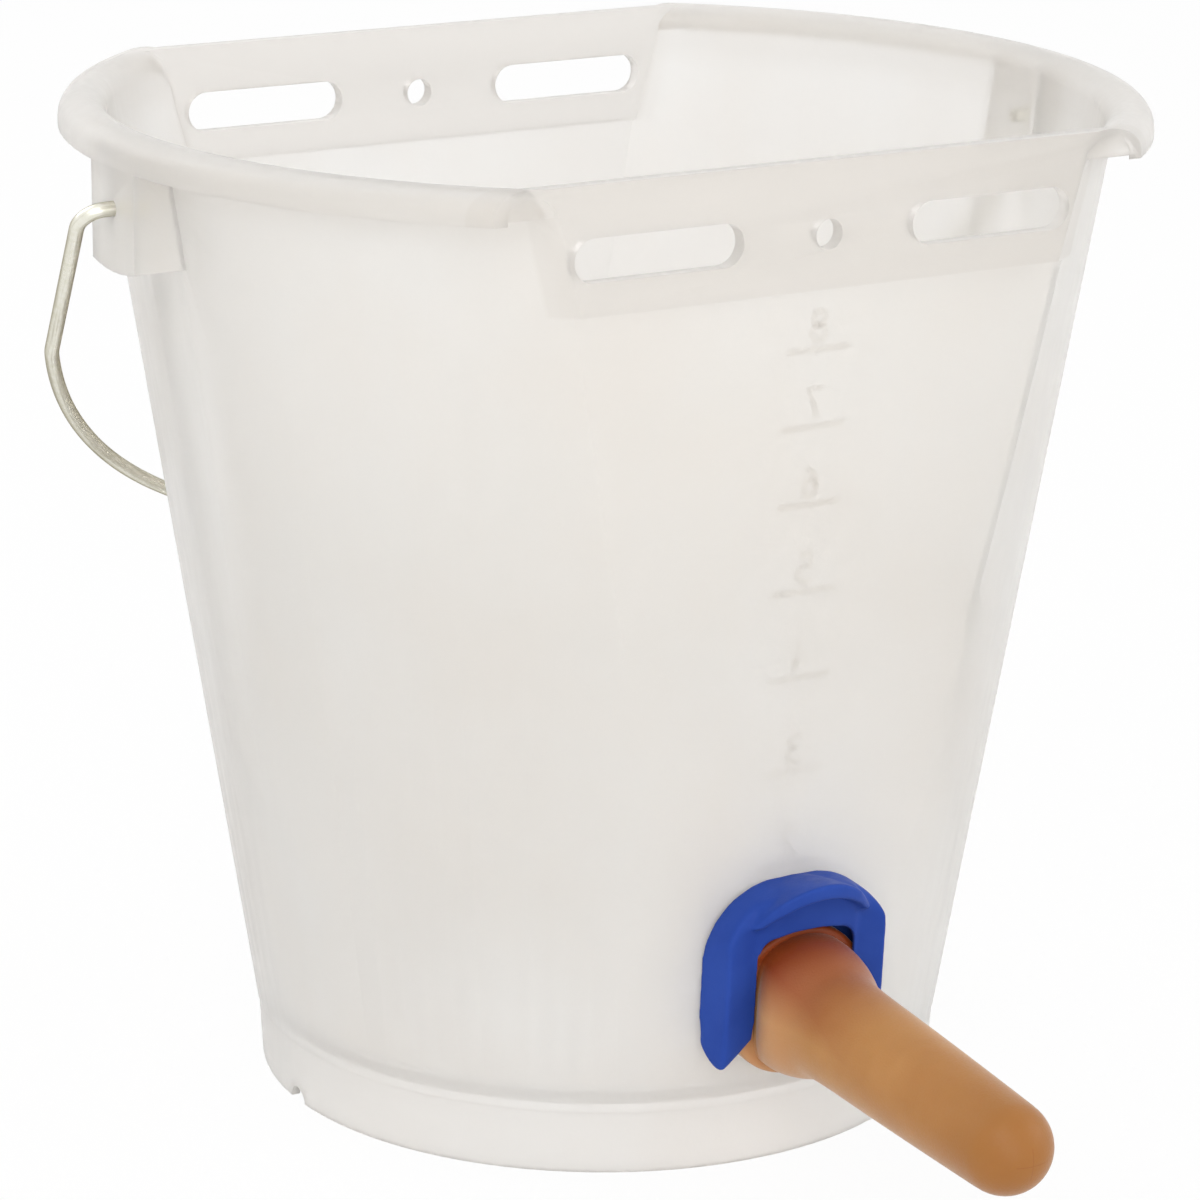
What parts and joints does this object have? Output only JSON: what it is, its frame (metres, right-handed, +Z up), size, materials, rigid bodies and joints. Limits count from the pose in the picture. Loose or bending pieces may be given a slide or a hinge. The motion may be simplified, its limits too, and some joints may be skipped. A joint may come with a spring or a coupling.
{
  "type": "calf feeder bucket",
  "caption": "Conical moulded bucket with flat front and back, slotted hanging bands, a wire bail, and a rubber teat with a valve held low on the front by a slide-on clip.",
  "frame": {"origin": "on the ground, in the middle of the foot ring", "axes": "+Z up along the bucket's axis, -Y towards the teat, X along the bail's pivots"},
  "size_m": [0.3166, 0.3326, 0.28],
  "materials": {
    "bucket_plastic": "pale, slightly translucent moulded polypropylene, satin",
    "bail_wire": "drawn, galvanised wire",
    "valve_plastic": "moulded, satin",
    "seal_rubber": "matt",
    "ball_plastic": "smooth",
    "teat_rubber": "translucent amber natural rubber, silky",
    "clip_plastic": "blue moulded polypropylene, satin"
  },
  "bodies": {
    "bucket": {"bucket": "bucket_plastic", "valve_body": "valve_plastic", "valve_seal": "seal_rubber", "teat": "teat_rubber"},
    "bail": {"bail": "bail_wire"},
    "clip": {"retaining_clip": "clip_plastic"},
    "ball": {"valve_ball": "ball_plastic"}
  },
  "joints": [
    {"name": "bail_hinge", "type": "hinge", "parent": "bucket", "child": "bail", "pos_m": [0, 0, 0.26], "axis": [1, 0, 0], "range_deg": [0, 276]},
    {"name": "clip_slide", "type": "slide", "parent": "bucket", "child": "clip", "axis": [0, -0.0599, 0.9982], "range_m": [0, 0.04]},
    {"name": "ball_slide", "type": "slide", "parent": "bucket", "child": "ball", "axis": [0, 0.9982, 0.0599], "range_m": [0, 0.005]}
  ]
}
